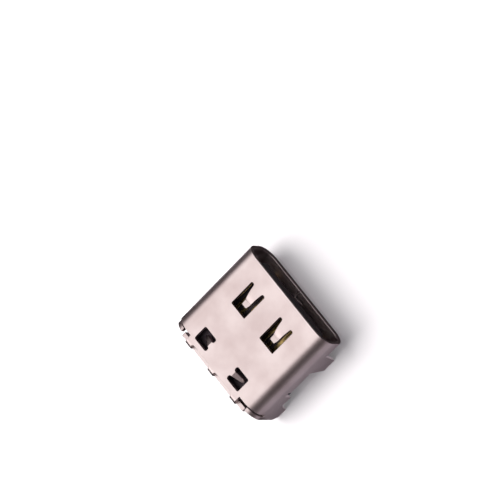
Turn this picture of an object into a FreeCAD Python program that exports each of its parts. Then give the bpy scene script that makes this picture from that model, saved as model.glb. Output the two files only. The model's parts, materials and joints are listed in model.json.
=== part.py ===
import FreeCAD, Part
import math
import os

# A reversible oval-mouth power jack for a circuit board, soldered flat on its two rows of feet
# and held by four shell legs that drop into slots of the board.
# Lengths are millimetres and angles degrees. X runs across the mouth, Z up from the board, and
# every depth is counted from the mouth towards the rear, along +Y. The origin is the middle of
# the outline on the board's surface, which the underside of the shell touches.

# Shell, folded from one sheet
shell_width = 8.94
shell_height = 3.16
overall_depth = 7.85
corner_radius = 1.20
sheet = 0.30
mouth_bevel = 0.07
cut_corner = 0.06

# Closing seam of the bottom, a row of dovetails
foot_zone = 2.68
seam_gap = 0.03
seam_reach = 0.43
seam_turns = 4
seam_flare = 0.07
seam_round = 0.13
seam_notch = 0.26

# Coined lips along the rear edge of the bottom
lip_depth = 0.42
lip_rise = 0.10
lip_margin = 1.72
lip_gap = 0.50

# Rounded notches that free the corners of the bottom from the side walls
relief_margin = 1.49
relief_ahead = 0.29
relief_behind = 0.13
relief_top = 1.42
relief_round = 0.15

# Front legs and the windows that they are folded out of
leg_reach = 0.60
front_leg_depth = 2.10
front_leg_root = 1.68
front_leg_tip = 1.00
leg_window_length = 2.10
leg_window_top = 1.82
leg_window_margin = 1.61
leg_window_round = 0.36
leg_tip_round = 0.10

# Rear legs, each with a shoulder that stops on the board side
wall_reach = 0.18
shoulder_height = 0.42
shoulder_length = 0.86
rear_leg_setback = 1.06
rear_leg_tip = 0.74
rear_leg_draft = 0.14
wall_end_drop = 0.10

# Springs of the top, which press on the plug's shell
spring_place = 1.59
spring_window_width = 1.46
spring_window_front = 1.25
spring_window_rear = 3.37
spring_slot = 0.27
spring_root = 1.42
spring_end = 2.90
spring_tip = 0.44
spring_dip = 0.30
spring_curl = 0.34
spring_lift = 0.08

# Latches of the top, which hold the plastic body in the shell
latch_setback = 0.96
latch_window_length = 1.16
latch_window_inner = 1.19
latch_window_outer = 2.45
latch_root = 1.34
latch_end = 2.12
latch_root_width = 0.46
latch_tip_width = 0.24
latch_dip = 0.55

# Rear flap, folded down on three necks
bend_radius = 0.15
neck_count = 3
neck_pitch = 2.50
neck_width = 0.54
neck_root = 0.20
neck_fillet = 0.20
flap_drop = 0.64
flap_bottom = 0.55
flap_margin = 1.02

# Ears that reach round from the side walls behind the body
corner_start = 2.79
corner_setback = 0.28
ear_width = 0.28
ear_root = 0.17
ear_radius = 1.10
ear_sweep = 78
ear_slot_drop = 0.10

# Tongue inside the mouth
tongue_margin = 1.125
tongue_thickness = 0.70
tongue_front = 0.30
tongue_corner = 0.35
tongue_bevel = 0.12
tongue_frame = 0.34
catch_ahead = 1.40
catch_length = 0.80
catch_depth = 0.20
catch_edge = 0.06

# Plastic body behind the tongue
root_length = 0.75
root_thickness = 1.24
root_side = 0.20
body_start = 0.03
body_setback = 0.60
body_round = 0.70
body_gap = 0.03
body_stand = 0.06
rib_width = 0.24
rib_place = 0.95
rib_margin = 0.20
ledge_height = 0.41
recess_depth = 0.50
strip_inner = 0.72
strip_outer = 2.58
strip_depth = 0.36
slot_inner = 1.08
slot_outer = 2.38
slot_ahead = 0.57
slot_width = 0.20
slot_head = 0.34
pocket_margin = 0.51
pocket_width = 0.56
pocket_length = 0.46
pocket_ahead = 0.74
latch_pocket_depth = 0.56
latch_clearance = 0.05

# Two inserts, each moulded round one row of contacts
insert_margin = 0.22
insert_behind = 0.30
insert_wall = 0.07
lower_insert_behind = 0.45
lower_insert_stand = 0.35
lower_insert_cover = 0.22
lower_insert_setback = 0.40
peg_reach = 0.10

# Middle plate between the two rows
plate_thickness = 0.10
plate_front = 0.66
plate_behind = 0.85
plate_margin = 0.10
plate_hole_place = 1.10
plate_hole_width = 1.10
plate_hole_length = 0.50

# Ground clips above and below the tongue's root
clip_thickness = 0.12
clip_margin = 0.395
clip_fold = 0.26
clip_behind = 0.25
clip_bump = 0.09
clip_pad_width = 1.50
clip_pad_margin = 0.15

# Contacts, twelve above and twelve below
contact_count = 12
contact_row_margin = 0.47
contact_width = 0.25
contact_thickness = 0.12
contact_front = 0.78
contact_setback = 0.40
contact_first_mate = (1, 4, 9, 12)
row_stagger = 0.125
jog_ahead = 0.20
jog_behind = 0.40
foot_length = 0.53
foot_margin = 0.03
foot_bend = 0.08
front_row_ahead = 0.87
nub_gap = 0.12
nub_length = 0.13

# Lines and levels worked out from the driving dimensions
half_width = shell_width / 2
inner_half = half_width - sheet
middle = shell_height / 2
roof = shell_height - sheet
flap_face = overall_depth - sheet
plate_edge = flap_face - bend_radius
wall_rear = plate_edge + wall_reach
ear_front = wall_rear - ear_width
corner_edge = plate_edge - corner_setback
bottom_depth = overall_depth - foot_zone
seam_pitch = bottom_depth / (seam_turns + 0.38)
relief_front = bottom_depth - relief_ahead
relief_rear = bottom_depth + relief_behind
latch_middle = plate_edge - latch_setback
latch_window_front = latch_middle - latch_window_length / 2
latch_window_rear = latch_middle + latch_window_length / 2
tongue_half = half_width - tongue_margin
tongue_top = middle + tongue_thickness / 2
tongue_bottom = middle - tongue_thickness / 2
insert_half = tongue_half - tongue_frame
clip_half = tongue_half - clip_margin
contact_reach = tongue_half - contact_row_margin
contact_pitch = (2 * contact_reach - contact_width) / (contact_count - 1)
nub_width = contact_pitch - nub_gap
insert_front = tongue_front + tongue_frame
body_front = bottom_depth + body_start
body_rear = overall_depth - body_setback
body_top = roof - body_gap
root_front = body_front - root_length
catch_front = root_front - catch_ahead
catch_rear = catch_front + catch_length
latch_pocket_floor = roof - latch_pocket_depth
front_row_depth = body_rear - front_row_ahead
row_half = contact_reach + row_stagger
far = 2 * shell_width


def at(x, depth, z):
    """A point, with its depth counted from the mouth."""
    return FreeCAD.Vector(x, depth - overall_depth / 2, z)


def box(x, depth, z):
    """A block between two values along each direction."""
    size = [high - low for low, high in (x, depth, z)]
    return Part.makeBox(*size, at(x[0], depth[0], z[0]))


def outline(corners, place):
    """A closed wire through corners (u, v, radius); place puts a corner in space."""
    points = [FreeCAD.Vector(u, v, 0) for u, v, radius in corners]
    ends = []
    for i, (u, v, radius) in enumerate(corners):
        back = (points[i - 1] - points[i]).normalize()
        ahead = (points[(i + 1) % len(points)] - points[i]).normalize()
        if radius == 0:
            ends.append((points[i], None, points[i]))
            continue
        half = back.getAngle(ahead) / 2
        bisector = (back + ahead).normalize()
        trim = radius / math.tan(half)
        crown = bisector * (radius / math.sin(half) - radius)
        ends.append((points[i] + back * trim, points[i] + crown, points[i] + ahead * trim))
    edges = []
    for i, (start, crown, end) in enumerate(ends):
        if crown is not None:
            edges.append(Part.Arc(place(start), place(crown), place(end)).toShape())
        following = ends[(i + 1) % len(ends)][0]
        if (following - end).Length > 1e-6:
            edges.append(Part.LineSegment(place(end), place(following)).toShape())
    return Part.Wire(edges)


def plan_block(corners, z):
    """An outline (x, depth, radius) raised between two heights."""
    wire = outline(corners, lambda p: at(p.x, p.y, z[0]))
    return Part.Face(wire).extrude(FreeCAD.Vector(0, 0, z[1] - z[0]))


def side_block(corners, x):
    """An outline (depth, z, radius) drawn out between two places across the mouth."""
    wire = outline(corners, lambda p: at(x[0], p.x, p.y))
    return Part.Face(wire).extrude(FreeCAD.Vector(x[1] - x[0], 0, 0))


def front_block(corners, depth):
    """An outline (x, z, radius) drawn out between two depths."""
    wire = outline(corners, lambda p: at(p.x, depth[0], p.y))
    return Part.Face(wire).extrude(FreeCAD.Vector(0, depth[1] - depth[0], 0))


def mirrored(shape):
    """The same shape on the other side of the middle."""
    return shape.mirror(FreeCAD.Vector(0, 0, 0), FreeCAD.Vector(1, 0, 0))


def both_sides(shape):
    return [shape, mirrored(shape)]


def oval_corners(inset):
    """The mouth's outline, moved inwards by inset."""
    x = half_width - inset
    radius = corner_radius - inset
    top = shell_height - inset
    return [(-x, inset, radius), (x, inset, radius), (x, top, radius), (-x, top, radius)]


def tube():
    """The closed oval tube with a bevel inside its mouth."""
    body = front_block(oval_corners(0), (0, wall_rear))
    hollow = front_block(oval_corners(sheet), (-far, far))
    mouth = outline(oval_corners(sheet - mouth_bevel), lambda p: at(p.x, 0, p.y))
    throat = outline(oval_corners(sheet), lambda p: at(p.x, mouth_bevel, p.y))
    bevel = Part.makeLoft([mouth, throat], True)
    return body.cut([hollow, bevel])


def seam_line():
    """The corners of the dovetails, from ahead of the mouth to behind the rear edge."""
    line = [(seam_reach, -seam_pitch)]
    side = 1
    for turn in range(seam_turns):
        depth = (turn + 0.49) * seam_pitch
        line.append((side * seam_reach, depth + seam_flare))
        line.append((-side * seam_reach, depth - seam_flare))
        side = -side
    line.append((side * seam_reach, bottom_depth + seam_pitch))
    return line


def seam_cut():
    """A narrow gap along the dovetails, open at the mouth and at the rear edge."""
    points = [FreeCAD.Vector(x, depth, 0) for x, depth in seam_line()]
    sides = []
    for shift in (seam_gap / 2, -seam_gap / 2):
        moved = [points[0] + FreeCAD.Vector(shift, 0, 0)]
        for before, here, after in zip(points, points[1:], points[2:]):
            first = (here - before).normalize()
            second = (after - here).normalize()
            normal = FreeCAD.Vector(first.y, -first.x, 0) + FreeCAD.Vector(second.y, -second.x, 0)
            scale = 2 * shift / normal.Length ** 2
            turn = first.cross(second).z
            radius = seam_round + (shift if turn > 0 else -shift)
            place = here + normal * scale
            moved.append(FreeCAD.Vector(place.x, place.y, radius))
        moved.append(points[-1] + FreeCAD.Vector(shift, 0, 0))
        sides.append(moved)
    loop = sides[0] + sides[1][::-1]
    corners = [(p.x, p.y, p.z) for p in loop]
    return plan_block(corners, (-sheet, 2 * sheet))


def bottom_cuts():
    """What is cut from the tube to open its bottom at the rear."""
    opening = box((-far, far), (bottom_depth, far), (-sheet, corner_radius))
    relief_end = (relief_rear - relief_front) * 0.45
    relief_inner = half_width - relief_margin
    relief = side_block([
        (relief_front, -sheet, 0),
        (relief_rear, -sheet, 0),
        (relief_rear, relief_top, relief_end),
        (relief_front, relief_top, relief_end),
    ], (relief_inner, far))
    relief = relief.common(plan_block([
        (relief_inner, relief_front, relief_round),
        (far, relief_front, 0),
        (far, relief_rear, 0),
        (relief_inner, relief_rear, 0),
    ], (-sheet, relief_top)))
    end = seam_reach if seam_turns % 2 == 0 else -seam_reach
    notch = plan_block([
        (end, bottom_depth - seam_notch, 0),
        (end + 2 * seam_notch, bottom_depth + seam_notch, 0),
        (end - 2 * seam_notch, bottom_depth + seam_notch, 0),
    ], (-sheet, 2 * sheet))
    lip_outer = half_width - lip_margin
    lip = side_block([
        (bottom_depth - lip_depth, 0, 0),
        (bottom_depth, lip_rise, 0),
        (bottom_depth, -lip_rise, 0),
        (bottom_depth - lip_depth, -lip_rise, 0),
    ], (-lip_outer, lip_outer))
    plain = box((end - lip_gap, end), (0, far), (-sheet, sheet))
    return [opening, notch, lip.cut(plain)] + both_sides(relief)


def rear_cuts():
    """What is cut from the tube's rear: behind the necks, and the slots that free the ears."""
    top = box((-corner_start, corner_start), (plate_edge, far), (middle, far))
    floor = middle + ear_root - ear_slot_drop
    width = ear_front - corner_edge
    slot = side_block([
        (corner_edge, far, 0),
        (corner_edge, floor, width * 0.45),
        (ear_front, floor, width * 0.45),
        (ear_front, middle + ear_root, 0),
        (far, middle + ear_root, 0),
        (far, far, 0),
    ], (corner_start, far))
    return [top] + both_sides(slot)


def ear():
    """A strip of the side wall that curls round behind the body's corner."""
    centre = (half_width - ear_radius, middle + ear_root)

    def point(radius, degrees):
        angle = math.radians(degrees)
        return at(centre[0] + radius * math.cos(angle), ear_front, centre[1] + radius * math.sin(angle))

    outer, inner = ear_radius, ear_radius - sheet
    foot = centre[1] - ear_slot_drop
    start_out = at(half_width, ear_front, foot)
    start_in = at(inner_half, ear_front, foot)
    wire = Part.Wire([
        Part.LineSegment(start_out, point(outer, 0)).toShape(),
        Part.Arc(point(outer, 0), point(outer, ear_sweep / 2), point(outer, ear_sweep)).toShape(),
        Part.LineSegment(point(outer, ear_sweep), point(inner, ear_sweep)).toShape(),
        Part.Arc(point(inner, ear_sweep), point(inner, ear_sweep / 2), point(inner, 0)).toShape(),
        Part.LineSegment(point(inner, 0), start_in).toShape(),
        Part.LineSegment(start_in, start_out).toShape(),
    ])
    return Part.Face(wire).extrude(FreeCAD.Vector(0, ear_width, 0))


def front_leg_window():
    """The opening that a front leg is folded out of, narrow at the top and wide in the bottom."""
    inner = half_width - leg_window_margin
    low = front_leg_depth - leg_window_length / 2
    high = front_leg_depth + leg_window_length / 2
    top_low = front_leg_depth - leg_window_top / 2
    top_high = front_leg_depth + leg_window_top / 2
    face = plan_block([
        (inner, low, leg_window_round),
        (far, low, 0),
        (far, high, 0),
        (inner, high, leg_window_round),
    ], (-sheet, 2 * corner_radius))
    flank = side_block([
        (low, -sheet, 0),
        (high, -sheet, 0),
        (high, sheet, 0),
        (top_high, corner_radius + cut_corner, cut_corner),
        (top_low, corner_radius + cut_corner, cut_corner),
        (low, sheet, 0),
    ], (0, far))
    return face.common(flank)


def front_leg():
    """A straight leg, wide where it leaves the wall and narrow at its tip."""
    root = front_leg_root / 2
    tip = front_leg_tip / 2
    return side_block([
        (front_leg_depth - root, corner_radius + sheet, 0),
        (front_leg_depth - root, corner_radius, 0),
        (front_leg_depth - tip, -leg_reach, leg_tip_round),
        (front_leg_depth + tip, -leg_reach, leg_tip_round),
        (front_leg_depth + root, corner_radius, 0),
        (front_leg_depth + root, corner_radius + sheet, 0),
    ], (inner_half, half_width))


def rear_leg():
    """The straight wall behind the relief, with its shoulder and its leg."""
    shoulder_end = relief_rear + shoulder_length
    tip_front = wall_rear - rear_leg_setback
    return side_block([
        (relief_rear, corner_radius + sheet, 0),
        (relief_rear, shoulder_height, cut_corner),
        (shoulder_end, shoulder_height, cut_corner),
        (tip_front - rear_leg_draft, 0, 0),
        (tip_front, -leg_reach, leg_tip_round),
        (tip_front + rear_leg_tip, -leg_reach, leg_tip_round),
        (wall_rear, -wall_end_drop, cut_corner),
        (wall_rear, corner_radius + sheet, 0),
    ], (inner_half, half_width))


def spring_edges():
    """Half widths of a spring at the ends of its slots and at its tip."""
    return spring_window_width / 2 - spring_slot, spring_tip / 2


def spring_window():
    """The cut round a spring, which is joined to the top at its front end."""
    root, tip = spring_edges()
    wide = spring_window_width / 2
    inner, outer = spring_place - wide, spring_place + wide
    slot_end = spring_slot * 0.45
    return plan_block([
        (inner, spring_window_rear, cut_corner),
        (inner, spring_window_front, slot_end),
        (spring_place - root, spring_window_front, slot_end),
        (spring_place - tip, spring_end, cut_corner),
        (spring_place + tip, spring_end, cut_corner),
        (spring_place + root, spring_window_front, slot_end),
        (outer, spring_window_front, slot_end),
        (outer, spring_window_rear, cut_corner),
    ], (middle, far))


def spring_outline(z):
    """The flat outline of a spring behind the line where it starts to bend."""
    root, tip = spring_edges()
    run = spring_end - spring_window_front
    share = (spring_root - spring_window_front) / run
    start = root + (tip - root) * share
    return plan_block([
        (spring_place - start, spring_root, 0),
        (spring_place + start, spring_root, 0),
        (spring_place + tip, spring_end, cut_corner),
        (spring_place - tip, spring_end, cut_corner),
    ], z)


def spring():
    """A spring that dips into the mouth in one arc and turns up again at its tip."""
    low = spring_end - spring_curl
    turn_up = shell_height - spring_dip + spring_lift
    run = low - spring_root
    radius = (run ** 2 + spring_dip ** 2) / (2 * spring_dip)
    half = run / 2
    sag = radius - math.sqrt(radius ** 2 - half ** 2)

    def edges(drop):
        start = at(0, spring_root, shell_height - drop)
        crown = at(0, spring_root + half, shell_height - sag - drop)
        low_point = at(0, low, shell_height - spring_dip - drop)
        tip = at(0, spring_end, turn_up - drop)
        return start, crown, low_point, tip

    a, b, c, d = edges(0)
    e, f, g, h = edges(sheet)
    wire = Part.Wire([
        Part.Arc(a, b, c).toShape(),
        Part.LineSegment(c, d).toShape(),
        Part.LineSegment(d, h).toShape(),
        Part.LineSegment(h, g).toShape(),
        Part.Arc(g, f, e).toShape(),
        Part.LineSegment(e, a).toShape(),
    ])
    strip = Part.Face(wire).extrude(FreeCAD.Vector(far, 0, 0))
    return strip.common(spring_outline((0, far)))


def latch_outline(start, z):
    """The flat outline of a latch outside start."""
    root, tip = latch_root_width / 2, latch_tip_width / 2
    share = (start - latch_window_inner) / (latch_end - latch_window_inner)
    wide = root + (tip - root) * share
    return plan_block([
        (start, latch_middle - wide, 0),
        (latch_end, latch_middle - tip, cut_corner),
        (latch_end, latch_middle + tip, cut_corner),
        (start, latch_middle + wide, 0),
    ], z)


def latch_window():
    """The cut round a latch, which is joined to the top on its inner side."""
    root, tip = latch_root_width / 2, latch_tip_width / 2
    slot_end = (latch_window_length / 2 - root) * 0.42
    return plan_block([
        (latch_window_outer, latch_window_front, cut_corner * 2),
        (latch_window_inner, latch_window_front, slot_end),
        (latch_window_inner, latch_middle - root, slot_end),
        (latch_end, latch_middle - tip, cut_corner),
        (latch_end, latch_middle + tip, cut_corner),
        (latch_window_inner, latch_middle + root, slot_end),
        (latch_window_inner, latch_window_rear, slot_end),
        (latch_window_outer, latch_window_rear, cut_corner * 2),
    ], (middle, far))


def latch():
    """A latch that slopes down and outwards into the plastic body."""
    slope = math.atan2(latch_dip, latch_end - latch_root)
    down = sheet * math.cos(slope)
    back = sheet * math.sin(slope)
    strip = front_block([
        (latch_root, roof, 0),
        (latch_root, shell_height, 0),
        (latch_end, shell_height - latch_dip, 0),
        (latch_end - back, shell_height - latch_dip - down, 0),
    ], (latch_window_front, latch_window_rear))
    return strip.common(latch_outline(latch_root, (0, far)))


def neck_places():
    first = -(neck_count - 1) / 2
    return [(first + i) * neck_pitch for i in range(neck_count)]


def neck(x):
    """A strip that leaves the top with a fillet each side, turns down and ends in the flap."""
    root = plate_edge - neck_root
    foot = shell_height - flap_drop - sheet
    centre = roof - bend_radius
    diagonal = math.sqrt(0.5)
    reach = neck_width / 2 + neck_fillet + cut_corner

    def bend(radius):
        return (at(-reach, plate_edge, centre + radius),
                at(-reach, plate_edge + radius * diagonal, centre + radius * diagonal),
                at(-reach, plate_edge + radius, centre))

    top = bend(bend_radius + sheet)
    under = bend(bend_radius)
    start_top = at(-reach, root, shell_height)
    start_under = at(-reach, root, roof)
    end_top = at(-reach, overall_depth, foot)
    end_under = at(-reach, flap_face, foot)
    wire = Part.Wire([
        Part.LineSegment(start_top, top[0]).toShape(),
        Part.Arc(*top).toShape(),
        Part.LineSegment(top[2], end_top).toShape(),
        Part.LineSegment(end_top, end_under).toShape(),
        Part.LineSegment(end_under, under[2]).toShape(),
        Part.Arc(*under[::-1]).toShape(),
        Part.LineSegment(under[0], start_under).toShape(),
        Part.LineSegment(start_under, start_top).toShape(),
    ])
    strip = Part.Face(wire).extrude(FreeCAD.Vector(2 * reach, 0, 0))
    half = neck_width / 2
    plan = plan_block([
        (-reach, root, 0),
        (reach, root, 0),
        (reach, plate_edge, 0),
        (half, plate_edge, neck_fillet),
        (half, far, 0),
        (-half, far, 0),
        (-half, plate_edge, neck_fillet),
        (-reach, plate_edge, 0),
    ], (0, far))
    strip = strip.common(plan).translated(FreeCAD.Vector(x, 0, 0))
    return strip.common(box((-corner_start, corner_start), (root, far), (0, far)))


def flap():
    """The plate of the rear flap."""
    wide = half_width - flap_margin
    top = shell_height - flap_drop
    return front_block([
        (-wide, flap_bottom, cut_corner),
        (wide, flap_bottom, cut_corner),
        (wide, top, cut_corner),
        (-wide, top, cut_corner),
    ], (flap_face, overall_depth))


def make_shell():
    body = tube()
    body = body.cut(bottom_cuts() + [seam_cut()] + rear_cuts() + both_sides(front_leg_window()))
    slot = spring_slot / 2
    spring_gap = box((spring_place - spring_window_width / 2 + slot, spring_place + spring_window_width / 2 - slot),
                     (spring_root, spring_end), (middle, far))
    latch_gap = latch_outline(latch_root, (middle, far))
    cuts = both_sides(spring_window()) + both_sides(spring_gap)
    cuts += both_sides(latch_window()) + both_sides(latch_gap)
    body = body.cut(cuts)
    folded = both_sides(front_leg()) + both_sides(rear_leg()) + both_sides(ear())
    folded += both_sides(spring()) + both_sides(latch())
    folded += [neck(x) for x in neck_places()] + [flap()]
    return body.fuse(folded).removeSplitter()


def contact_places():
    first = -(contact_count - 1) / 2
    return [(first + i) * contact_pitch for i in range(contact_count)]


def contact_start(number):
    """Power and ground contacts reach further forward and meet the plug first."""
    return contact_front if number in contact_first_mate else contact_front + contact_setback


def contact_plan(x, number, shift, rear):
    """The strip's outline from above, with a jog that sets its foot aside."""
    low, high = x - contact_width / 2, x + contact_width / 2
    start = contact_start(number)
    jog_front = body_front - jog_ahead
    jog_rear = body_front + jog_behind
    return plan_block([
        (low, start, 0),
        (low, jog_front, 0),
        (low + shift, jog_rear, 0),
        (low + shift, rear, 0),
        (high + shift, rear, 0),
        (high + shift, jog_rear, 0),
        (high, jog_front, 0),
        (high, start, 0),
    ], (-sheet, far))


def make_upper_contact(x, number):
    """A contact on top of the tongue that turns down behind the body to a foot."""
    t = contact_thickness
    end = overall_depth - foot_margin
    strip = side_block([
        (0, tongue_top - t, 0),
        (0, tongue_top, 0),
        (body_rear + t, tongue_top, foot_bend + t),
        (body_rear + t, t, foot_bend),
        (end, t, 0),
        (end, 0, 0),
        (body_rear, 0, foot_bend + t),
        (body_rear, tongue_top - t, 0),
    ], (-far, far))
    return strip.common(contact_plan(x, number, row_stagger, far))


def make_lower_contact(x, number):
    """A contact under the tongue that turns down inside the body to a foot facing forward."""
    t = contact_thickness
    rear = front_row_depth
    front = rear - foot_length
    strip = side_block([
        (0, tongue_bottom, 0),
        (0, tongue_bottom + t, 0),
        (rear, tongue_bottom + t, foot_bend + t),
        (rear, 0, 0),
        (front, 0, 0),
        (front, t, 0),
        (rear - t, t, 0),
        (rear - t, tongue_bottom, 0),
    ], (-far, far))
    body = strip.common(contact_plan(x, number, -row_stagger, far))
    centre = x - row_stagger
    nub = box((centre - nub_width / 2, centre + nub_width / 2), (rear - nub_length, rear), (0, t))
    return body.fuse(nub).removeSplitter()


def make_middle_plate():
    """The steel plate that stiffens the tongue and catches the plug's side hooks."""
    low = middle - plate_thickness / 2
    wide = tongue_half - plate_margin
    waist = tongue_half - catch_depth + catch_edge
    rear = body_front + plate_behind
    right = [
        (wide, plate_front, tongue_corner),
        (wide, catch_front, 0),
        (waist, catch_front, 0),
        (waist, catch_rear, 0),
        (wide, catch_rear, 0),
        (wide, rear, 0),
    ]
    left = [(-x, depth, radius) for x, depth, radius in right[::-1]]
    plate = plan_block(right + left, (low, low + plate_thickness))
    return plate.cut(pegs())


def pegs():
    """The two pegs of the upper insert, which pass through the plate's holes."""
    shapes = []
    for x in (-plate_hole_place, plate_hole_place):
        shapes.append(box((x - plate_hole_width / 2, x + plate_hole_width / 2),
                          (root_front, root_front + plate_hole_length),
                          (middle - plate_thickness / 2 - peg_reach, middle + plate_thickness / 2)))
    return shapes


def upper_insert_block():
    """The first moulding, round the upper contacts."""
    low = middle + plate_thickness / 2
    tongue = box((-insert_half, insert_half), (insert_front, body_rear), (low, tongue_top))
    wide = row_half + insert_margin
    rear = box((-wide, wide), (body_front + insert_behind, body_rear),
               (low, latch_pocket_floor - insert_wall))
    return tongue.fuse([rear] + pegs()).removeSplitter()


def lower_insert_block():
    """The second moulding, round the lower contacts, reaching down behind the root."""
    high = middle - plate_thickness / 2
    tongue = box((-insert_half, insert_half), (insert_front, body_rear - lower_insert_setback),
                 (tongue_bottom, high))
    wide = row_half + insert_margin
    rear = box((-wide, wide), (body_front + lower_insert_behind, front_row_depth + lower_insert_cover),
               (lower_insert_stand, high))
    return tongue.fuse(rear).cut(pegs()).removeSplitter()


def make_clip(upper):
    """A ground clip: a plate over the root with a folded front edge and two raised pads."""
    level = middle + root_thickness / 2
    top = level + clip_thickness
    rear = body_front + clip_behind
    plate = side_block([
        (root_front - clip_thickness, level - clip_fold, 0),
        (root_front - clip_thickness, top, clip_thickness),
        (rear, top, 0),
        (rear, level, 0),
        (root_front, level, 0),
        (root_front, level - clip_fold, 0),
    ], (-clip_half, clip_half))
    pads = []
    for x in (-clip_half / 2, clip_half / 2):
        pads.append(front_block([
            (x - clip_pad_width / 2, top, 0),
            (x - clip_pad_width / 2 + clip_bump, top + clip_bump, 0),
            (x + clip_pad_width / 2 - clip_bump, top + clip_bump, 0),
            (x + clip_pad_width / 2, top, 0),
        ], (root_front + clip_pad_margin, body_front - clip_pad_margin)))
    clip = plate.fuse(pads).removeSplitter()
    if upper:
        return clip
    return clip.mirror(FreeCAD.Vector(0, 0, middle), FreeCAD.Vector(0, 0, 1))


def body_rests():
    """Ribs that press on the roof and the side walls, and the ledge that the flap leans on."""
    length = (body_front + rib_margin, body_rear - body_round - rib_margin)
    ribs = []
    for x in (-rib_place, rib_place):
        ribs.append(box((x - rib_width / 2, x + rib_width / 2), length, (middle, roof)))
    wall = box((tongue_half, inner_half), length, (middle - rib_width / 2, middle + rib_width / 2))
    top = roof - bend_radius
    edge = corner_start - neck_width / 4
    ledge = box((-edge, edge), (body_front, flap_face), (top - ledge_height, top))
    return ribs + both_sides(wall) + [ledge]


def housing_blank():
    """The outer moulding before anything is set in it: tongue, root, body and skirt."""
    inside = body_front + root_side
    slant = tongue_bevel * 1.4
    tongue = plan_block([
        (-tongue_half, tongue_front, tongue_corner),
        (tongue_half, tongue_front, tongue_corner),
        (tongue_half, inside, 0),
        (-tongue_half, inside, 0),
    ], (tongue_bottom, tongue_top))
    wedge = side_block([
        (tongue_front, tongue_bottom + tongue_bevel, 0),
        (tongue_front + slant, tongue_bottom, 0),
        (inside, tongue_bottom, 0),
        (inside, tongue_top, 0),
        (tongue_front + slant, tongue_top, 0),
        (tongue_front, tongue_top - tongue_bevel, 0),
    ], (-far, far))
    tongue = tongue.common(wedge)
    root_half = tongue_half + root_side
    root = box((-root_half, root_half), (root_front, inside),
               (middle - root_thickness / 2, middle + root_thickness / 2))
    body = front_block(oval_corners(sheet + body_gap), (body_front, body_rear))
    skirt_half = inner_half - body_gap
    skirt = box((-skirt_half, skirt_half), (body_front, body_rear), (body_stand, middle))
    trim = plan_block([
        (-skirt_half, body_front, 0),
        (skirt_half, body_front, 0),
        (skirt_half, body_rear, body_round),
        (-skirt_half, body_rear, body_round),
    ], (-sheet, far))
    body = body.fuse(skirt).common(trim)
    return tongue.fuse([root, body] + body_rests()).removeSplitter()


def housing_recesses():
    """Pockets in the outer moulding: for the latches, and those of its underside."""
    pocket = box((latch_window_inner, latch_window_outer + latch_clearance),
                 (latch_window_front - latch_clearance, latch_window_rear + latch_clearance),
                 (latch_pocket_floor, shell_height))
    depth = (-sheet, body_stand + recess_depth)
    strip = box((strip_inner, strip_outer), (body_front - strip_depth, body_front + strip_depth), depth)
    slot_front = body_rear - slot_ahead
    slot = plan_block([
        (slot_inner, slot_front, 0),
        (slot_outer, slot_front, 0),
        (slot_outer, slot_front + slot_head, 0),
        (slot_outer - slot_width, slot_front + slot_head, 0),
        (slot_outer - slot_width, slot_front + slot_width, 0),
        (slot_inner, slot_front + slot_width, 0),
    ], depth)
    square_x = inner_half - pocket_margin
    square_y = body_rear - pocket_ahead
    square = box((square_x - pocket_width / 2, square_x + pocket_width / 2),
                 (square_y - pocket_length / 2, square_y + pocket_length / 2), depth)
    catch = box((tongue_half - catch_depth, half_width), (catch_front, catch_rear), (0, shell_height))
    cuts = []
    for cut in (pocket, strip, slot, square, catch):
        cuts += both_sides(cut)
    return cuts


def make_parts():
    upper = {}
    lower = {}
    for number, x in enumerate(contact_places(), 1):
        upper["contact_a%02d" % number] = make_upper_contact(x, number)
        lower["contact_b%02d" % (contact_count + 1 - number)] = make_lower_contact(x, number)
    plate = make_middle_plate()
    clips = [make_clip(True), make_clip(False)]
    upper_insert = upper_insert_block()
    lower_insert = lower_insert_block()
    housing = housing_blank().cut(housing_recesses())
    housing = housing.cut([upper_insert, lower_insert, plate] + clips)
    housing = housing.cut(list(upper.values()) + list(lower.values()))
    parts = {
        "shell": make_shell(),
        "housing": housing.removeSplitter(),
        "upper_insert": upper_insert.cut(list(upper.values())).removeSplitter(),
        "lower_insert": lower_insert.cut(list(lower.values())).removeSplitter(),
        "middle_plate": plate,
        "ground_clip_top": clips[0],
        "ground_clip_bottom": clips[1],
    }
    parts.update(upper)
    parts.update(lower)
    return parts


os.makedirs("parts", exist_ok=True)
for name, shape in make_parts().items():
    print(name, len(shape.Solids), "solid", shape.isValid(), round(shape.Volume, 4), "mm3")
    shape.exportStep("parts/%s.step" % name)
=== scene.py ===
# %% [markdown]
# # A small power jack, dressed for a product picture
#
# The jack is smaller than a fingernail: a folded steel shell, a dark moulded body inside it and
# two rows of gold contacts. The construction model gives every piece its place. This lesson loads
# it, gives each piece a real finish, makes the two contact rows again with Geometry Nodes so that
# their stamped edges are softly rounded, and sets up a light table and a camera.

# %% Load the construction model
import json
import math

import bpy
from mathutils import Matrix, Vector


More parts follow.
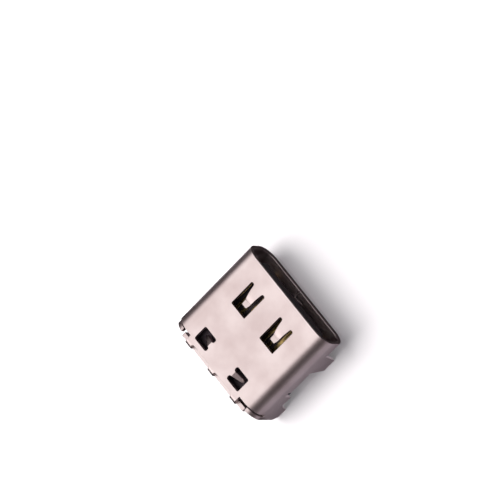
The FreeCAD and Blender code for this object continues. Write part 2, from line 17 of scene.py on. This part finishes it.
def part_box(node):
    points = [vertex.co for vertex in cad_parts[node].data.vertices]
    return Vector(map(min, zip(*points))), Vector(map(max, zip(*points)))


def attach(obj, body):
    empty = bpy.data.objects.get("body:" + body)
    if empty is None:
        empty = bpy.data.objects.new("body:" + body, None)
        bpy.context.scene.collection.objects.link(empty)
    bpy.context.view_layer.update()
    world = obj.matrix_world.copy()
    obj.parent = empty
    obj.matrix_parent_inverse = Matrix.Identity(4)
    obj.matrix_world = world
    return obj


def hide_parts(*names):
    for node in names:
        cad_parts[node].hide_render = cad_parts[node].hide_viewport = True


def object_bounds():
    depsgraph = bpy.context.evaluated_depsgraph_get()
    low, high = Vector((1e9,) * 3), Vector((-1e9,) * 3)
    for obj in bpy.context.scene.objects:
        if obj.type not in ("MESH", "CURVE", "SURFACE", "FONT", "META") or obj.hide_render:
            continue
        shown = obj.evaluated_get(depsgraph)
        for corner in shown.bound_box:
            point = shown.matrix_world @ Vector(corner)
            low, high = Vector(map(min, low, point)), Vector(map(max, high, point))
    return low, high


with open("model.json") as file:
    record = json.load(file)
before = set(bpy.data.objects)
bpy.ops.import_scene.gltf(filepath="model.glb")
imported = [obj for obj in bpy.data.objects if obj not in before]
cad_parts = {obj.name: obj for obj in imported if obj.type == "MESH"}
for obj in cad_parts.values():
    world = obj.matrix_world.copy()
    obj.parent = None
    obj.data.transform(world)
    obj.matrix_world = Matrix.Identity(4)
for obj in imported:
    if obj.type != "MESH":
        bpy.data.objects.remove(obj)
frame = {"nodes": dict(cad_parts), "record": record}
cad_box = [list(corner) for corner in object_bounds()]
print("CAD pieces:", len(frame["nodes"]))

# %% [markdown]
# Blender works in metres here, but this object is easier to think of in millimetres. One constant
# turns millimetres to metres wherever a size is typed. The lamp and the camera stand where two
# angles point, so one function turns a pair of angles to a direction.

# %% Units, the object's outline and directions
MM = 0.001
low, high = (Vector(corner) for corner in cad_box)
size = high - low
centre = (low + high) / 2
table_height = low.z - 0.01 * MM


def direction(azimuth, elevation):
    """The way from the object to a point round it, in degrees from the mouth and the table."""
    a, e = math.radians(azimuth), math.radians(elevation)
    return Vector((math.sin(a) * math.cos(e), -math.cos(a) * math.cos(e), math.sin(e)))


print("outline in mm:", [round(v / MM, 2) for v in size])

# %% [markdown]
# ## Small tools for materials
#
# Colours are noted the way a picture editor shows them, as sRGB hex values. The renderer wants
# linear light, so one function turns them. A second one adds a node to a material with its
# settings and its links in one line, which keeps each material short enough to read at a glance.

# %% Colour and node helpers
def linear(hex_colour):
    """An sRGB hex colour as linear red, green, blue and an alpha of 1."""
    channels = [int(hex_colour[i:i + 2], 16) / 255 for i in (1, 3, 5)]
    return [c / 12.92 if c <= 0.04045 else ((c + 0.055) / 1.055) ** 2.4 for c in channels] + [1.0]


def add_node(tree, kind, values=None, links=None, **settings):
    """Adds a node, sets its properties and socket values, and links sockets to other outputs."""
    node = tree.nodes.new(kind)
    for name, value in settings.items():
        setattr(node, name, value)
    for socket, value in (values or {}).items():
        node.inputs[socket].default_value = value
    for socket, output in (links or {}).items():
        tree.links.new(output, node.inputs[socket])
    return node


def new_material(name):
    """An empty material and its node tree."""
    material = bpy.data.materials.new(name)
    material.use_nodes = True
    material.node_tree.nodes.clear()
    return material, material.node_tree


print("linear mid grey:", [round(c, 3) for c in linear("#808080")])

# %% [markdown]
# ## Nickel-plated steel, the shell
#
# The shell is stamped from thin stainless or nickel-plated strip. Plating fills the rolling marks
# of the strip, so the finish is satin rather than mirror: broad soft reflections with a faint,
# cloudy unevenness, warm and slightly pink under a white lamp. The edges of stamped sheet are
# never razor sharp, so the Bevel node rounds the shading along them by some hundredths of a
# millimetre, which gives each cut edge its thin line of light or shade. The grain is drawn
# coarser than real plating has it, because the real one is too fine to show.

# %% Nickel-plated steel
rougher_clouds = 1.15  # how much rougher the dullest cloud is than the clearest


def shade_metal(name, pale, deep, roughness, cloud_mm, grain_mm, grain_depth, edge_mm):
    """A satin metal with cloudy plating, a fine grain and softened edges."""
    material, tree = new_material(name)
    place = add_node(tree, "ShaderNodeTexCoord").outputs["Object"]
    clouds = add_node(tree, "ShaderNodeTexNoise",
                      {"Scale": 1 / (cloud_mm * MM), "Detail": 3.0, "Roughness": 0.55},
                      {"Vector": place})
    ramp = add_node(tree, "ShaderNodeValToRGB", None, {"Fac": clouds.outputs["Fac"]})
    ramp.color_ramp.elements[0].position = 0.30
    ramp.color_ramp.elements[0].color = linear(deep)
    ramp.color_ramp.elements[1].position = 0.62
    ramp.color_ramp.elements[1].color = linear(pale)
    grain = add_node(tree, "ShaderNodeTexNoise",
                     {"Scale": 1 / (grain_mm * MM), "Detail": 2.0}, {"Vector": place})
    rounded = add_node(tree, "ShaderNodeBevel", {"Radius": edge_mm * MM}, samples=6)
    bump = add_node(tree, "ShaderNodeBump", {"Strength": 0.35, "Distance": grain_depth * MM},
                    {"Height": grain.outputs["Fac"], "Normal": rounded.outputs["Normal"]})
    sheen = add_node(tree, "ShaderNodeMapRange",
                     {"To Min": roughness, "To Max": roughness * rougher_clouds},
                     {"Value": clouds.outputs["Fac"]})
    surface = add_node(tree, "ShaderNodeBsdfPrincipled", {"Metallic": 1.0},
                       {"Base Color": ramp.outputs["Color"], "Roughness": sheen.outputs["Result"],
                        "Normal": bump.outputs["Normal"]})
    add_node(tree, "ShaderNodeOutputMaterial", None, {"Surface": surface.outputs["BSDF"]})
    return material


nickel = shade_metal("nickel_plated_steel", pale="#F4E2E0", deep="#E0CBC9", roughness=0.28,
                     cloud_mm=2.4, grain_mm=0.15, grain_depth=0.001, edge_mm=0.065)
print("made", nickel.name)

# %% [markdown]
# ## Rolled steel, the plate and the clips inside the mouth
#
# These are plain rolled spring steel without plating. They are greyer and a little duller than
# the shell, so the mouth keeps its depth.

# %% Rolled spring steel
rolled_steel = shade_metal("rolled_spring_steel", pale="#BDBABB", deep="#A9A6A8", roughness=0.33,
                           cloud_mm=1.0, grain_mm=0.05, grain_depth=0.004, edge_mm=0.01)
print("made", rolled_steel.name)

# %% [markdown]
# ## Gold, the contacts
#
# The contacts are copper alloy with a flash of gold over nickel. Gold tints every reflection, so
# the strips read warm and yellow even in the dark of the mouth. So thin a layer is paler than
# solid gold, and as smooth as the strip below it.

# %% Gold plate
gold = shade_metal("gold_plate", pale="#E6C988", deep="#C9A767", roughness=0.28,
                   cloud_mm=0.5, grain_mm=0.08, grain_depth=0.0002, edge_mm=0.02)
print("made", gold.name)

# %% [markdown]
# ## Glass-filled nylon, the body
#
# The body is moulded round the contacts from a glass-filled, heat-proof nylon. It is nearly black
# with a cool violet cast, and the fine texture of the mould gives it a soft grey shine.

# %% Moulded nylon
def shade_nylon(name, colour, roughness, grit_mm, edge_mm):
    """A dark moulded plastic with the fine grit of its mould."""
    material, tree = new_material(name)
    place = add_node(tree, "ShaderNodeTexCoord").outputs["Object"]
    grit = add_node(tree, "ShaderNodeTexNoise", {"Scale": 1 / (grit_mm * MM), "Detail": 4.0},
                    {"Vector": place})
    rounded = add_node(tree, "ShaderNodeBevel", {"Radius": edge_mm * MM}, samples=6)
    bump = add_node(tree, "ShaderNodeBump", {"Strength": 0.5, "Distance": 0.008 * MM},
                    {"Height": grit.outputs["Fac"], "Normal": rounded.outputs["Normal"]})
    surface = add_node(tree, "ShaderNodeBsdfPrincipled",
                       {"Base Color": linear(colour), "Roughness": roughness, "IOR": 1.53},
                       {"Normal": bump.outputs["Normal"]})
    add_node(tree, "ShaderNodeOutputMaterial", None, {"Surface": surface.outputs["BSDF"]})
    return material


nylon = shade_nylon("moulded_black_nylon", colour="#33292F", roughness=0.50,
                    grit_mm=0.09, edge_mm=0.02)
print("made", nylon.name)

# %% Give each CAD piece its finish
finishes = {
    "shell_steel": nickel,
    "dark_plastic": nylon,
    "contact_gold": gold,
    "spring_steel": rolled_steel,
}
for part in frame["record"]["subparts"]:
    piece = frame["nodes"][part["node"]]
    piece.data.materials.clear()
    piece.data.materials.append(finishes[part["material_slot"]])

# %% [markdown]
# ## The contact rows
#
# A contact is a flat strip of copper alloy, punched, plated and bent. It lies on the tongue, jogs
# sideways by a quarter of the pitch so that the two rows of feet interleave with the pads of the
# board, turns down and ends in a foot. Twelve of them repeat along each row, which is work for
# Geometry Nodes. The tree lays six corners, rounds the bends with Fillet Curve and sweeps a
# rounded strip along them. Two lengths are made, because the power and ground contacts reach
# further forward and meet the plug first. Each row is then set on twelve points, and an attribute
# of the points picks the length. The corners are measured on the construction model, so the new
# strips lie in the plastic's own grooves.

# %% Measure the contacts
strip_width = 0.25 * MM
strip_thickness = 0.12 * MM
strip_edge = 0.02 * MM
strip_bend = 0.14 * MM
jog = 0.125 * MM
jog_lead = 0.45 * MM
jog_length = 0.60 * MM
foot_length = 0.53 * MM
nub_length = 0.13 * MM
nub_width = 0.38 * MM

jog_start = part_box("ground_clip_top")[1].y - jog_lead
jog_end = jog_start + jog_length


def row_nodes(letter):
    """The names of one row's contacts in the construction model, from the first to the last."""
    return sorted(name for name in frame["nodes"] if name.startswith("contact_" + letter))


def row_points(names, shift):
    """Where a row's strips lie, how late each starts, the first one's corners and the tip."""
    boxes = [[Vector(corner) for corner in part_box(name)] for name in names]
    tip = min(corners[0].y for corners in boxes)
    places = [((corners[0].x + corners[1].x - shift) / 2, 0, 0) for corners in boxes]
    return places, [corners[0].y - tip for corners in boxes], boxes[0][0], boxes[0][1], tip


upper_names, lower_names = row_nodes("a"), row_nodes("b")
upper_places, upper_late, upper_low, upper_high, upper_tip = row_points(upper_names, jog)
lower_places, lower_late, lower_low, lower_high, lower_tip = row_points(lower_names, -jog)
print("strips:", len(upper_places), "and", len(lower_places), "late start in mm:",
      round(max(upper_late) / MM, 2))

# %% The corners of one strip in each row, from the tongue's tip to the foot
half = strip_thickness / 2
drop = Vector(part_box("upper_insert")[1]).y + half
upper_corners = {
    "Tip": (0, upper_tip, upper_high.z - half),
    "Jog start": (0, jog_start, upper_high.z - half),
    "Jog end": (jog, jog_end, upper_high.z - half),
    "Upper bend": (jog, drop, upper_high.z - half),
    "Lower bend": (jog, drop, upper_low.z + half),
    "Foot": (jog, upper_high.y, upper_low.z + half),
}
rear = lower_high.y - half
lower_corners = {
    "Tip": (0, lower_tip, lower_high.z - half),
    "Jog start": (0, jog_start, lower_high.z - half),
    "Jog end": (-jog, jog_end, lower_high.z - half),
    "Upper bend": (-jog, rear, lower_high.z - half),
    "Lower bend": (-jog, rear, lower_low.z + half),
    "Foot": (-jog, lower_high.y - foot_length, lower_low.z + half),
}
print("upper drop at", round(drop / MM, 2), "mm, lower drop at", round(rear / MM, 2), "mm")


# %% The tree that makes a row
def contact_tree(name, corners, nub):
    """Geometry Nodes that set one swept strip on each point of a row."""
    tree = bpy.data.node_groups.new(name, "GeometryNodeTree")
    tree.is_modifier = True
    face = tree.interface
    face.new_socket("Points", in_out="INPUT", socket_type="NodeSocketGeometry")
    sizes = {}
    for label in corners:
        sizes[label] = face.new_socket(label, in_out="INPUT", socket_type="NodeSocketVector")
    for label in ("Width", "Thickness", "Edge radius", "Bend radius", "Late by"):
        sizes[label] = face.new_socket(label, in_out="INPUT", socket_type="NodeSocketFloat")
    sizes["Finish"] = face.new_socket("Finish", in_out="INPUT", socket_type="NodeSocketMaterial")
    face.new_socket("Row", in_out="OUTPUT", socket_type="NodeSocketGeometry")
    given = add_node(tree, "NodeGroupInput").outputs

    sheet = add_node(tree, "GeometryNodeCurvePrimitiveQuadrilateral", None,
                     {"Width": given["Width"], "Height": given["Thickness"]})
    profile = add_node(tree, "GeometryNodeFilletCurve", {"Count": 3},
                       {"Curve": sheet.outputs[0], "Radius": given["Edge radius"]}, mode="POLY")
    number = add_node(tree, "GeometryNodeInputIndex").outputs[0]
    strips = []
    for late in (False, True):
        path_corners = add_node(tree, "GeometryNodeIndexSwitch", data_type="VECTOR")
        while len(path_corners.index_switch_items) < len(corners):
            path_corners.index_switch_items.new()
        tree.links.new(number, path_corners.inputs[0])
        for i, label in enumerate(corners):
            corner = given[label]
            if late and label == "Tip":
                setback = add_node(tree, "ShaderNodeCombineXYZ", None, {"Y": given["Late by"]})
                corner = add_node(tree, "ShaderNodeVectorMath", None,
                                  {0: corner, 1: setback.outputs[0]}).outputs[0]
            tree.links.new(corner, path_corners.inputs[i + 1])
        points = add_node(tree, "GeometryNodePoints", {"Count": len(corners)},
                          {"Position": path_corners.outputs[0]})
        line = add_node(tree, "GeometryNodePointsToCurves", None, {"Points": points.outputs[0]})
        bent = add_node(tree, "GeometryNodeFilletCurve", {"Count": 5, "Limit Radius": True},
                        {"Curve": line.outputs[0], "Radius": given["Bend radius"]}, mode="POLY")
        strip = add_node(tree, "GeometryNodeCurveToMesh", {"Fill Caps": True},
                         {"Curve": bent.outputs[0], "Profile Curve": profile.outputs[0]})
        strips.append(strip.outputs[0])
    if nub:
        strips = [with_nub(tree, strip, given, number) for strip in strips]
    kinds = add_node(tree, "GeometryNodeJoinGeometry")
    for strip in reversed(strips):
        kind = add_node(tree, "GeometryNodeGeometryToInstance", None, {"Geometry": strip})
        tree.links.new(kind.outputs[0], kinds.inputs[0])
    late = add_node(tree, "GeometryNodeInputNamedAttribute", {"Name": "late"}, data_type="INT")
    row = add_node(tree, "GeometryNodeInstanceOnPoints", {"Pick Instance": True},
                   {"Points": given["Points"], "Instance": kinds.outputs[0],
                    "Instance Index": late.outputs["Attribute"]})
    real = add_node(tree, "GeometryNodeRealizeInstances", None, {"Geometry": row.outputs[0]})
    dressed = add_node(tree, "GeometryNodeSetMaterial", None,
                       {"Geometry": real.outputs[0], "Material": given["Finish"]})
    add_node(tree, "NodeGroupOutput", None, {0: dressed.outputs[0]})
    return tree, sizes


def with_nub(tree, strip, given, number):
    """Adds the wider end of a soldered foot, which was left by the carrier strip."""
    sheet = add_node(tree, "GeometryNodeCurvePrimitiveQuadrilateral", {"Width": nub_width},
                     {"Height": given["Thickness"]})
    profile = add_node(tree, "GeometryNodeFilletCurve", {"Count": 3},
                       {"Curve": sheet.outputs[0], "Radius": given["Edge radius"]}, mode="POLY")
    outer = add_node(tree, "ShaderNodeVectorMath", {1: (0, half, 0)}, {0: given["Lower bend"]})
    inner = add_node(tree, "ShaderNodeVectorMath", {1: (0, half - nub_length, 0)},
                     {0: given["Lower bend"]})
    line = add_node(tree, "GeometryNodeCurvePrimitiveLine", None,
                    {"Start": inner.outputs[0], "End": outer.outputs[0]})
    bar = add_node(tree, "GeometryNodeCurveToMesh", {"Fill Caps": True},
                   {"Curve": line.outputs[0], "Profile Curve": profile.outputs[0]})
    both = add_node(tree, "GeometryNodeJoinGeometry")
    tree.links.new(bar.outputs[0], both.inputs[0])
    tree.links.new(strip, both.inputs[0])
    return both.outputs[0]


print("corners per strip:", len(upper_corners))


# %% Make both rows
def make_row(name, places, late, corners, nub, nodes):
    """A row of strips as one plain mesh, standing for the row's CAD nodes."""
    seeds = bpy.data.meshes.new(name + "_points")
    seeds.from_pydata(places, [], [])
    longest = max(late)
    flags = seeds.attributes.new("late", "INT", "POINT")
    for flag, by in zip(flags.data, late):
        flag.value = 1 if by > longest / 2 else 0
    holder = bpy.data.objects.new(name + "_points", seeds)
    bpy.context.collection.objects.link(holder)
    tree, sizes = contact_tree(name + "_nodes", corners, nub)
    modifier = holder.modifiers.new("row", "NODES")
    modifier.node_group = tree
    values = dict(corners)
    values.update({"Width": strip_width, "Thickness": strip_thickness, "Edge radius": strip_edge,
                   "Bend radius": strip_bend, "Late by": longest, "Finish": gold})
    for label, value in values.items():
        modifier[sizes[label].identifier] = value
    graph = bpy.context.evaluated_depsgraph_get()
    mesh = bpy.data.meshes.new_from_object(holder.evaluated_get(graph))
    holder.modifiers.remove(modifier)
    bpy.data.objects.remove(holder)
    row = bpy.data.objects.new(name, mesh)
    bpy.context.collection.objects.link(row)
    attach(row, "root")
    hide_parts(*nodes)
    depths = [vertex.co.y / MM for vertex in mesh.vertices]
    print(name, "faces:", len(mesh.polygons), "y from", round(min(depths), 3),
          "to", round(max(depths), 3))


make_row("upper_contacts", upper_places, upper_late, upper_corners, False, upper_names)
make_row("lower_contacts", lower_places, lower_late, lower_corners, True, lower_names)

# %% [markdown]
# ## The light table
#
# White paper carries the object and takes its soft shadow. The paper and the world round it are
# seen as clean white by the camera, by polished metal and by glass, which Light Path tells apart
# from the light that falls on the object. So the picture's ground is white without any more light
# on the steel. Light that has bounced about inside the mouth comes out nearly black in a picture
# like this one, so whatever only a second mirror sees is dimmed as well.

# %% Who looks, and after how many mirrors
second_share = 0.08
# Ray Depth counts one more for light from a glowing surface, so 2 there is a first reflection.
past_first_mirror = 2.5


def seen_directly(tree):
    """One for the camera, mirrors and glass, and nought for the light that falls on the object."""
    path = add_node(tree, "ShaderNodeLightPath")
    mirrors = add_node(tree, "ShaderNodeMath", None,
                       {0: path.outputs["Is Camera Ray"], 1: path.outputs["Is Glossy Ray"]},
                       operation="MAXIMUM")
    glass = add_node(tree, "ShaderNodeMath", None,
                     {0: mirrors.outputs[0], 1: path.outputs["Is Transmission Ray"]},
                     operation="MAXIMUM")
    return glass.outputs[0]


def dimmed_later(tree, strength=1.0):
    """A strength for the camera and a first reflection, and a small share of it for later ones."""
    path = add_node(tree, "ShaderNodeLightPath")
    first = add_node(tree, "ShaderNodeMath", {1: past_first_mirror},
                     {0: path.outputs["Ray Depth"]}, operation="LESS_THAN")
    dimmer = add_node(tree, "ShaderNodeMapRange",
                      {"To Min": strength * second_share, "To Max": strength},
                      {"Value": first.outputs[0]})
    return dimmer.outputs["Result"]


print("share left after a second mirror:", second_share)


# %% Table
def shade_table(name, colour, glow):
    """White paper that glows a little wherever it is seen directly, and keeps its shadows."""
    material, tree = new_material(name)
    paper = add_node(tree, "ShaderNodeBsdfDiffuse", {"Color": linear(colour)})
    light = add_node(tree, "ShaderNodeEmission", {"Color": linear("#FFFFFF"), "Strength": glow})
    bright = add_node(tree, "ShaderNodeAddShader", None, {0: paper.outputs[0], 1: light.outputs[0]})
    mix = add_node(tree, "ShaderNodeMixShader", None,
                   {0: seen_directly(tree), 1: paper.outputs[0], 2: bright.outputs[0]})
    add_node(tree, "ShaderNodeOutputMaterial", None, {"Surface": mix.outputs[0]})
    return material


table_side = 600 * MM
bpy.ops.mesh.primitive_plane_add(size=table_side, location=(0, 0, table_height))
table = bpy.context.object
table.name = "light_table"
table.data.materials.append(shade_table("white_paper", colour="#E8E7E9", glow=0.10))
print("table at", round(table_height / MM, 2), "mm")

# %% World
fill_strength = 0.265
world = bpy.data.worlds.new("studio")
bpy.context.scene.world = world
world.use_nodes = True
sky = world.node_tree
sky.nodes.clear()
white = add_node(sky, "ShaderNodeBackground", {"Color": linear("#FFFFFF")},
                 {"Strength": dimmed_later(sky)})
fill = add_node(sky, "ShaderNodeBackground",
                {"Color": linear("#EEEBF3"), "Strength": fill_strength})
mixed = add_node(sky, "ShaderNodeMixShader", None,
                 {0: seen_directly(sky), 1: fill.outputs[0], 2: white.outputs[0]})
add_node(sky, "ShaderNodeOutputWorld", None, {"Surface": mixed.outputs[0]})
print("fill light from the world:", fill_strength)

# %% [markdown]
# ## The lamp
#
# One broad square lamp stands high beyond the far rear corner. Its shadow falls towards the
# camera, along the mouth and the near wall, and its size gives the shadow the wide soft edge of a
# window or a soft box. Metal would show the lamp as a bright square, so reflections don't see it.


# %% Lamp
def soft_lamp(name, azimuth, elevation, distance_mm, side_mm, power, colour):
    """A square area lamp that faces the object."""
    data = bpy.data.lights.new(name, "AREA")
    data.shape = "SQUARE"
    data.size = side_mm * MM
    data.energy = power
    data.color = linear(colour)[:3]
    lamp = bpy.data.objects.new(name, data)
    bpy.context.collection.objects.link(lamp)
    away = direction(azimuth, elevation)
    lamp.location = centre + away * distance_mm * MM
    lamp.rotation_mode = "QUATERNION"
    lamp.rotation_quaternion = (-away).to_track_quat("-Z", "Y")
    lamp.visible_glossy = False
    return lamp


key = soft_lamp("key_lamp", azimuth=148, elevation=64, distance_mm=160, side_mm=150,
                power=0.44, colour="#FFFBFA")
print("lamp power in W:", round(key.data.energy, 3))

# %% [markdown]
# ## Cards for the reflections
#
# Polished metal only shows what stands round it. A photographer sets dark cards beside a shiny
# thing to draw its bends as dark lines. A tall card stands along the near wall and turns paler
# towards its top, so that its reflection melts into the bright top of the shell. Lower ones stand
# on the far side, before the mouth and at the back, and a white one behind them brightens what
# leans back towards it. Grey and dark cards lie on the paper and give the walls their calm grey.
# A darker strip along the foot of the near wall is a painted shadow. It stands for the object's
# shadow on the paper, so that the near wall looks darker towards its bottom.
# All of them are hidden from the camera, light nothing and cast no shadow: only reflections know
# about them.


# %% One card
def card_corners(x, y, z):
    """Corners of a card from its spans along X, Y and Z. A card that lies has no span along Z."""
    if z[0] == z[1]:
        return [(x[0], y[0], z[0]), (x[1], y[0], z[0]), (x[1], y[1], z[0]), (x[0], y[1], z[0])]
    return [(x[0], y[0], z[0]), (x[1], y[1], z[0]), (x[1], y[1], z[1]), (x[0], y[0], z[1])]


def height_ramp(tree, tones):
    """Colours that change with height; tones are pairs of a height in mm and a colour."""
    place = add_node(tree, "ShaderNodeTexCoord").outputs["Object"]
    parts = add_node(tree, "ShaderNodeSeparateXYZ", None, {0: place})
    bottom, top = tones[0][0], tones[-1][0]
    rise = add_node(tree, "ShaderNodeMapRange", {"From Min": bottom * MM, "From Max": top * MM},
                    {"Value": parts.outputs["Z"]})
    ramp = add_node(tree, "ShaderNodeValToRGB", None, {"Fac": rise.outputs["Result"]})
    stops = ramp.color_ramp.elements
    stops[0].color, stops[-1].color = linear(tones[0][1]), linear(tones[-1][1])
    for height, tone in tones[1:-1]:
        stops.new((height - bottom) / (top - bottom)).color = linear(tone)
    return ramp.outputs["Color"]


def make_card(name, x, y, z, tones, strength=1.0):
    """A glowing card that only reflections see, with one colour or a ramp over its height."""
    mesh = bpy.data.meshes.new(name)
    mesh.from_pydata(card_corners(x, y, z), [], [(0, 1, 2, 3)])
    card = bpy.data.objects.new(name, mesh)
    bpy.context.collection.objects.link(card)
    material, tree = new_material(name)
    face = add_node(tree, "ShaderNodeEmission", None, {"Strength": dimmed_later(tree, strength)})
    if isinstance(tones, str):
        face.inputs["Color"].default_value = linear(tones)
    else:
        tree.links.new(height_ramp(tree, tones), face.inputs["Color"])
    add_node(tree, "ShaderNodeOutputMaterial", None, {"Surface": face.outputs[0]})
    mesh.materials.append(material)
    card.visible_camera = False
    card.visible_shadow = False
    card.visible_diffuse = False
    return card


# %% Where the cards stand
card_away = 12 * MM
card_end = 30 * MM
card_foot = table_height + 0.05 * MM
near_x, far_x = low.x - card_away, high.x + card_away
mouth_y, back_y = low.y - card_away, high.y + card_away
white_y = back_y + 4 * MM
print("cards stand", round(card_away / MM), "mm away")

# %% Standing cards
standing_cards = [
    make_card("near_card", (near_x, near_x), (-card_end, card_end),
              (card_foot, card_foot + 30 * MM),
              [(-0.6, "#858083"), (6.0, "#454143"), (11.0, "#474345"), (19.5, "#9A9294"),
               (28.0, "#FFFFFF")]),
    make_card("far_card", (far_x, far_x), (low.y - 10 * MM, back_y),
              (card_foot, card_foot + 12 * MM),
              [(-0.6, "#565254"), (5.4, "#474345"), (7.4, "#A19B9D"), (11.5, "#FFFFFF")]),
    make_card("mouth_card", (-card_end, card_end), (mouth_y, mouth_y),
              (card_foot, card_foot + 24 * MM),
              [(-0.6, "#1E1B1D"), (14.0, "#2A2729"), (24.0, "#7A7476")]),
    make_card("back_card", (low.x - 10 * MM, high.x + 10 * MM), (back_y, back_y),
              (card_foot, card_foot + 6 * MM), [(-0.6, "#2E2A2C"), (5.5, "#474345")]),
    make_card("rear_card", (-6 * MM, 16 * MM), (white_y, white_y), (4 * MM, 20 * MM), "#FFFFFF",
              strength=1.4),
]
print("standing cards:", [card.name for card in standing_cards])

# %% Lying cards, in three layers so that none of them meets another
flat_gap = 0.3 * MM
flat_side = 5 * MM
flat_dark = "#2E2A2C"
# The width of the painted shadow strip along the foot of the near wall.
foot_shadow_width = 0.9 * MM
grey_level = table_height + 0.02 * MM
foot_shadow_level = table_height + 0.04 * MM
lying_cards = [
    make_card("far_flat_card", (high.x + flat_side, far_x), (low.y, back_y),
              (card_foot, card_foot), flat_dark),
    make_card("rear_flat_card", (low.x - 2 * MM, high.x + flat_side),
              (high.y + flat_gap, back_y), (card_foot, card_foot), flat_dark),
    make_card("mouth_flat_card", (low.x - flat_gap, high.x + flat_side),
              (mouth_y, low.y - 0.1 * MM), (card_foot, card_foot), flat_dark),
    make_card("grey_card", (near_x, far_x), (mouth_y, back_y), (grey_level, grey_level),
              "#98949C"),
    # A painted shadow: this dark strip stands for the object's shadow on the paper beside the near
    # wall, which the wall reflects darker towards its bottom.
    make_card("painted_foot_shadow_card", (low.x - foot_shadow_width, low.x), (low.y, back_y),
              (foot_shadow_level, foot_shadow_level), "#6C686F"),
]
print("lying cards:", [card.name for card in lying_cards])

# %% [markdown]
# ## The camera
#
# The picture was taken from high above one front corner, with the jack turned almost a quarter
# turn in the frame. A long lens far away keeps parallel edges parallel. The angles, the distance,
# the lens and the point aimed at came from matching the corners, windows and legs of the object.

# %% Camera
camera_azimuth = -45.25
camera_elevation = 62.24
camera_roll = -86.99
camera_distance = 429.96 * MM
camera_lens = 478.8
aim = Vector((5.596, -3.267, 1.58)) * MM
back = direction(camera_azimuth, camera_elevation)
level_right = Vector((0, 0, 1)).cross(back).normalized()
level_up = back.cross(level_right)
turn = math.radians(camera_roll)
right = level_right * math.cos(turn) + level_up * math.sin(turn)
up = back.cross(right)
camera_data = bpy.data.cameras.new("camera")
camera_data.lens = camera_lens
camera_data.sensor_width = 36
camera_data.clip_start = 0.01
camera_data.clip_end = 10
camera = bpy.data.objects.new("camera", camera_data)
bpy.context.collection.objects.link(camera)
camera_turn = Matrix((right, up, back)).transposed().to_4x4()
camera.matrix_world = Matrix.Translation(aim + back * camera_distance) @ camera_turn
bpy.context.scene.camera = camera
bpy.context.scene.view_settings.view_transform = "Standard"
print("camera at mm:", [round(v / MM, 1) for v in camera.matrix_world.translation])
